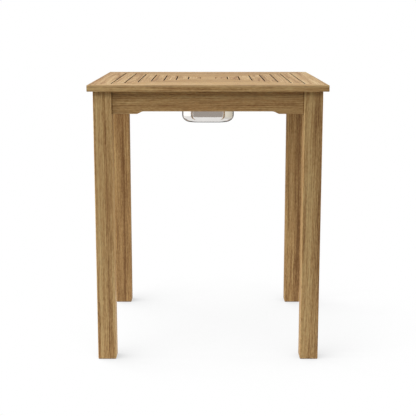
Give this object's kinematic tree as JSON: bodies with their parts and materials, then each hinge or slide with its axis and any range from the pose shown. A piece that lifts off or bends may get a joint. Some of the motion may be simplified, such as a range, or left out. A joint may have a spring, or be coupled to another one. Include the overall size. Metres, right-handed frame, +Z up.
{
  "type": "ice chiller bar table",
  "caption": "Square bar-height teak table with a top of concentric mitred slats, a lift-out lid in its middle and a drop-in stainless ice pan hung under it.",
  "frame": {"origin": "on the floor, under the middle of the square top", "axes": "+Z up, +X to the right and +Y to the back, as seen from the front in the picture"},
  "size_m": [0.9, 0.9, 1.07],
  "materials": {
    "teak_top": "sanded, oiled teak",
    "teak_frame": "sanded, oiled teak",
    "teak_underframe": "planed, bare teak",
    "stainless_sheet": "satin drawn stainless sheet",
    "zinc_plated_steel": "bright zinc plate"
  },
  "bodies": {
    "table": {"apron_back": "teak_frame", "apron_front": "teak_frame", "apron_left": "teak_frame", "apron_right": "teak_frame", "block_screws": "zinc_plated_steel", "corner_block_back_left": "teak_underframe", "corner_block_back_right": "teak_underframe", "corner_block_front_left": "teak_underframe", "corner_block_front_right": "teak_underframe", "cross_battens": "teak_underframe", "diagonal_batten_back_left": "teak_underframe", "diagonal_batten_back_right": "teak_underframe", "diagonal_batten_front_left": "teak_underframe", "diagonal_batten_front_right": "teak_underframe", "hanger_bolts": "zinc_plated_steel", "ledge_back": "teak_underframe", "ledge_front": "teak_underframe", "ledge_left": "teak_underframe", "ledge_right": "teak_underframe", "leg_back_left": "teak_frame", "leg_back_right": "teak_frame", "leg_front_left": "teak_frame", "leg_front_right": "teak_frame", "nuts": "zinc_plated_steel", "slat_back_1": "teak_top", "slat_back_2": "teak_top", "slat_back_3": "teak_top", "slat_back_4": "teak_top", "slat_back_5": "teak_top", "slat_front_1": "teak_top", "slat_front_2": "teak_top", "slat_front_3": "teak_top", "slat_front_4": "teak_top", "slat_front_5": "teak_top", "slat_left_1": "teak_top", "slat_left_2": "teak_top", "slat_left_3": "teak_top", "slat_left_4": "teak_top", "slat_left_5": "teak_top", "slat_right_1": "teak_top", "slat_right_2": "teak_top", "slat_right_3": "teak_top", "slat_right_4": "teak_top", "slat_right_5": "teak_top", "top_rail_back": "teak_top", "top_rail_front": "teak_top", "top_rail_left": "teak_top", "top_rail_right": "teak_top", "washers": "zinc_plated_steel"},
    "pan": {"pan": "stainless_sheet"},
    "lid": {"lid_battens": "teak_underframe", "lid_centre": "teak_top", "lid_slat_back_1": "teak_top", "lid_slat_back_2": "teak_top", "lid_slat_front_1": "teak_top", "lid_slat_front_2": "teak_top", "lid_slat_left_1": "teak_top", "lid_slat_left_2": "teak_top", "lid_slat_right_1": "teak_top", "lid_slat_right_2": "teak_top"}
  },
  "joints": [
    {"name": "pan_lift", "type": "slide", "parent": "table", "child": "pan", "axis": [0, 0, 1], "range_m": [0, 0.2]},
    {"name": "lid_lift", "type": "slide", "parent": "pan", "child": "lid", "axis": [0, 0, 1], "range_m": [0, 0.12]}
  ]
}
